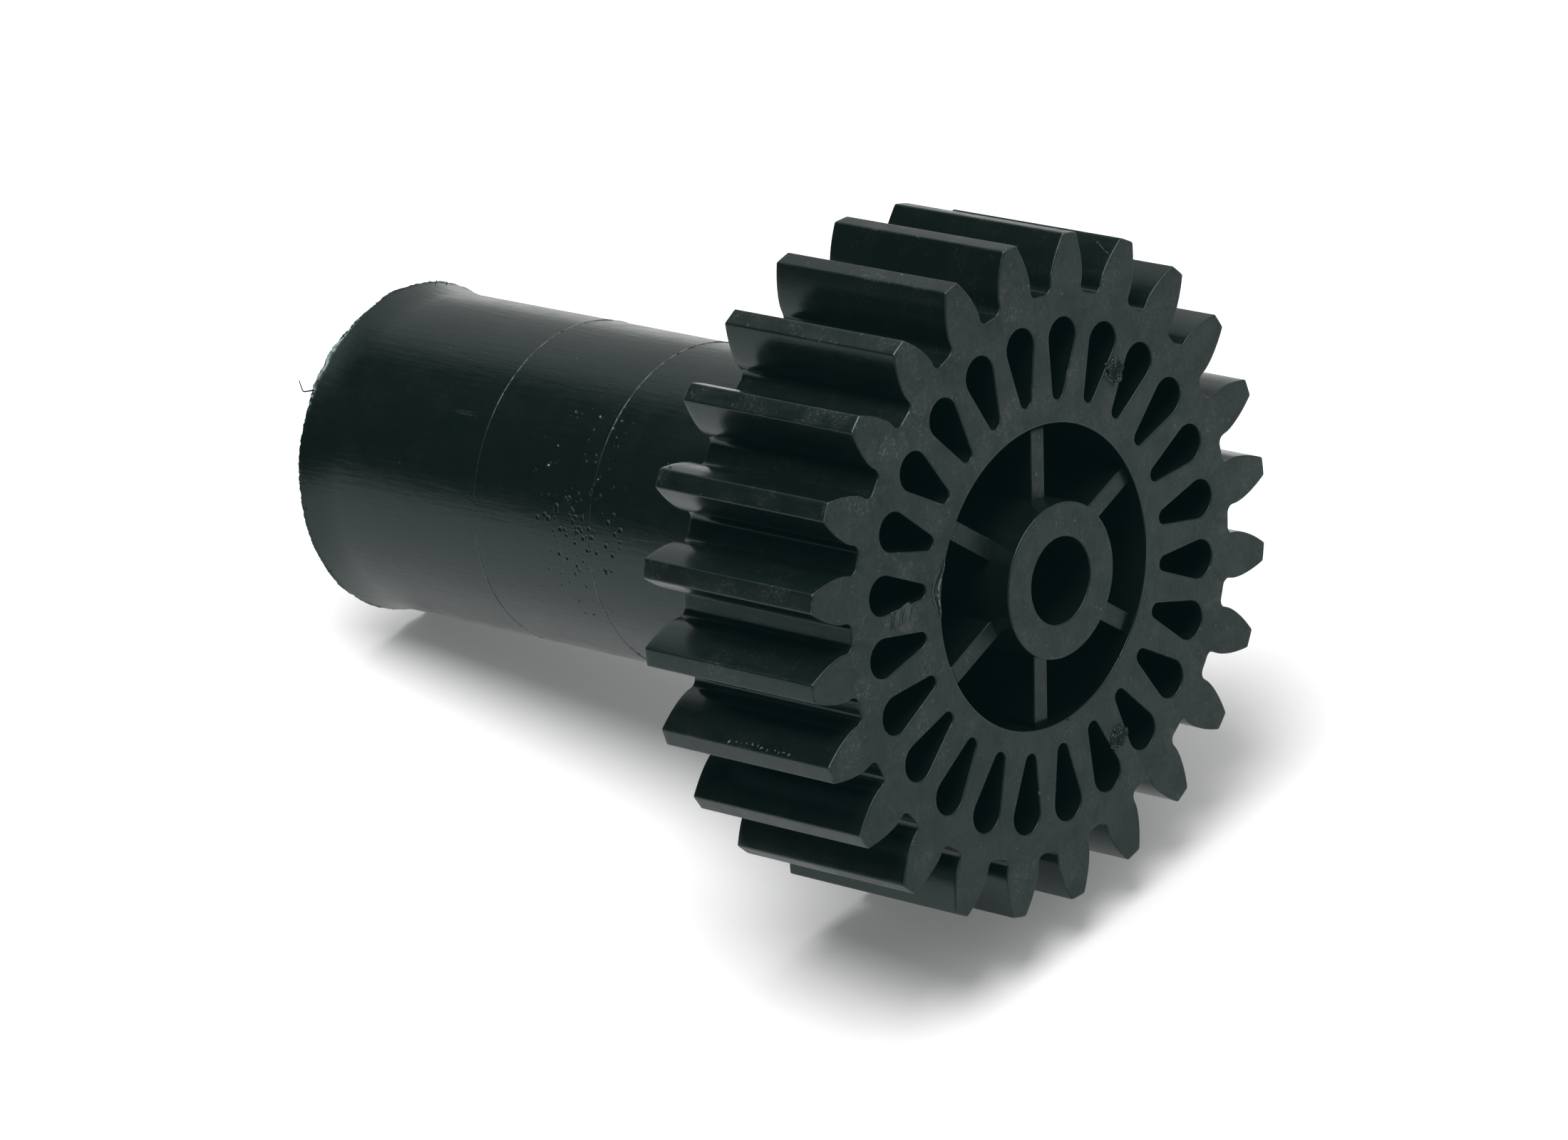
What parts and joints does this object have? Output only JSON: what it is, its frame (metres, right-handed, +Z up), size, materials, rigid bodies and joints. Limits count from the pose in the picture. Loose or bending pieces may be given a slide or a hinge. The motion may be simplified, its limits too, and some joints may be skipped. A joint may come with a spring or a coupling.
{
  "type": "spur gear",
  "caption": "Moulded plastic spur gear with lightening pockets, a ribbed hub with a shaft bore, and a long hollow sleeve behind the teeth.",
  "frame": {"origin": "on the gear's axis, halfway along the teeth", "axes": "+Y along the axis towards the sleeve's far end, so the toothed front faces -Y; +Z up through a tooth space, with the part lying on its side"},
  "size_m": [0.0646, 0.0848, 0.0646],
  "materials": {
    "rim_plastic": "matt moulded black plastic on the faces, satin on the tooth flanks",
    "hub_plastic": "matt moulded black plastic",
    "sleeve_plastic": "satin to glossy moulded black plastic with small pits"
  },
  "bodies": {
    "root": {"toothed_rim": "rim_plastic", "hub_spider": "hub_plastic", "sleeve_front_section": "sleeve_plastic", "sleeve_middle_section": "sleeve_plastic", "sleeve_rear_section": "sleeve_plastic"}
  },
  "joints": []
}
